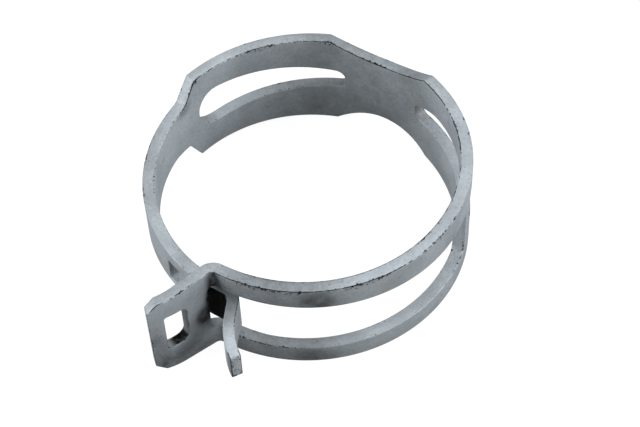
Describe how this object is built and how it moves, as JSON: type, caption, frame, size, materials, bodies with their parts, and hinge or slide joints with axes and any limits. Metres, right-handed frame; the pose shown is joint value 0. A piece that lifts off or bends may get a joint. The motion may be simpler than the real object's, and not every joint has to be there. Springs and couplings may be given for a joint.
{
  "type": "spring hose clamp",
  "caption": "Constant-tension spring hose clamp bent from one flat steel strip, with crossed ears that open the ring when squeezed together.",
  "frame": {"origin": "centre of the bore, half-way up the band", "axes": "+Z along the hose, on the bore's axis; +Y towards the solid waist of the band; the ears point to -Y, the wide ear's tip to -X and the narrow ear's tip to +X"},
  "size_m": [0.052, 0.0626, 0.0186],
  "materials": {
    "coated_spring_steel": "matte"
  },
  "bodies": {
    "waist": {"waist": "coated_spring_steel"},
    "right_1": {"right_shoulder_upper_strip": "coated_spring_steel", "right_shoulder_lower_strip": "coated_spring_steel"},
    "right_2": {"right_side_upper_strip": "coated_spring_steel", "right_side_lower_strip": "coated_spring_steel"},
    "right_3": {"side_bridge": "coated_spring_steel", "window_rear_upper_strip": "coated_spring_steel", "window_rear_lower_strip": "coated_spring_steel"},
    "right_4": {"window_middle_upper_strip": "coated_spring_steel", "window_middle_lower_strip": "coated_spring_steel"},
    "right_5": {"window_front_upper_strip": "coated_spring_steel", "window_front_lower_strip": "coated_spring_steel", "wide_ear_upper_bend": "coated_spring_steel", "wide_ear_lower_bend": "coated_spring_steel", "wide_ear_plate": "coated_spring_steel"},
    "left_1": {"left_shoulder_upper_strip": "coated_spring_steel", "left_shoulder_lower_strip": "coated_spring_steel"},
    "left_2": {"left_side_upper_strip": "coated_spring_steel", "left_side_lower_strip": "coated_spring_steel"},
    "left_3": {"tongue_shoulder": "coated_spring_steel", "tongue_rear": "coated_spring_steel"},
    "left_4": {"tongue_middle": "coated_spring_steel"},
    "left_5": {"tongue_slot_head": "coated_spring_steel", "tongue_upper_prong": "coated_spring_steel", "tongue_lower_prong": "coated_spring_steel", "narrow_ear_root": "coated_spring_steel", "narrow_ear_bend": "coated_spring_steel", "narrow_ear_plate": "coated_spring_steel"}
  },
  "joints": [
    {"name": "right_flex_1", "type": "hinge", "parent": "waist", "child": "right_1", "pos_m": [0.00876, 0.02342, 0], "axis": [0, 0, 1], "range_deg": [0, 0.54], "stiffness_Nm_per_rad": 2},
    {"name": "right_flex_2", "type": "hinge", "parent": "right_1", "child": "right_2", "pos_m": [0.01737, 0.01798, 0], "axis": [0, 0, 1], "range_deg": [0, 0.54], "stiffness_Nm_per_rad": 2},
    {"name": "right_flex_3", "type": "hinge", "parent": "right_2", "child": "right_3", "pos_m": [0.02318, 0.00937, 0], "axis": [0, 0, 1], "range_deg": [0, 0.54], "stiffness_Nm_per_rad": 2},
    {"name": "right_flex_4", "type": "hinge", "parent": "right_3", "child": "right_4", "pos_m": [0.02349, -0.00855, 0], "axis": [0, 0, 1], "range_deg": [0, 0.54], "stiffness_Nm_per_rad": 2},
    {"name": "right_flex_5", "type": "hinge", "parent": "right_4", "child": "right_5", "pos_m": [0.01504, -0.01997, 0], "axis": [0, 0, 1], "range_deg": [0, 0.54], "stiffness_Nm_per_rad": 2},
    {"name": "left_flex_1", "type": "hinge", "parent": "waist", "child": "left_1", "pos_m": [-0.00876, 0.02342, 0], "axis": [0, 0, -1], "range_deg": [0, 0.54], "stiffness_Nm_per_rad": 2},
    {"name": "left_flex_2", "type": "hinge", "parent": "left_1", "child": "left_2", "pos_m": [-0.01858, 0.01673, 0], "axis": [0, 0, -1], "range_deg": [0, 0.54], "stiffness_Nm_per_rad": 2},
    {"name": "left_flex_3", "type": "hinge", "parent": "left_2", "child": "left_3", "pos_m": [-0.02403, 0.00689, 0], "axis": [0, 0, -1], "range_deg": [0, 0.54], "stiffness_Nm_per_rad": 2},
    {"name": "left_flex_4", "type": "hinge", "parent": "left_3", "child": "left_4", "pos_m": [-0.0212, -0.01325, 0], "axis": [0, 0, -1], "range_deg": [0, 0.54], "stiffness_Nm_per_rad": 2},
    {"name": "left_flex_5", "type": "hinge", "parent": "left_4", "child": "left_5", "pos_m": [-0.01096, -0.02247, 0], "axis": [0, 0, -1], "range_deg": [0, 0.54], "stiffness_Nm_per_rad": 2}
  ],
  "couplings": [
    {"joint": "right_flex_2", "follows": "right_flex_1", "ratio": 1},
    {"joint": "right_flex_3", "follows": "right_flex_1", "ratio": 1},
    {"joint": "right_flex_4", "follows": "right_flex_1", "ratio": 1},
    {"joint": "right_flex_5", "follows": "right_flex_1", "ratio": 1},
    {"joint": "left_flex_1", "follows": "right_flex_1", "ratio": 1},
    {"joint": "left_flex_2", "follows": "right_flex_1", "ratio": 1},
    {"joint": "left_flex_3", "follows": "right_flex_1", "ratio": 1},
    {"joint": "left_flex_4", "follows": "right_flex_1", "ratio": 1},
    {"joint": "left_flex_5", "follows": "right_flex_1", "ratio": 1}
  ]
}
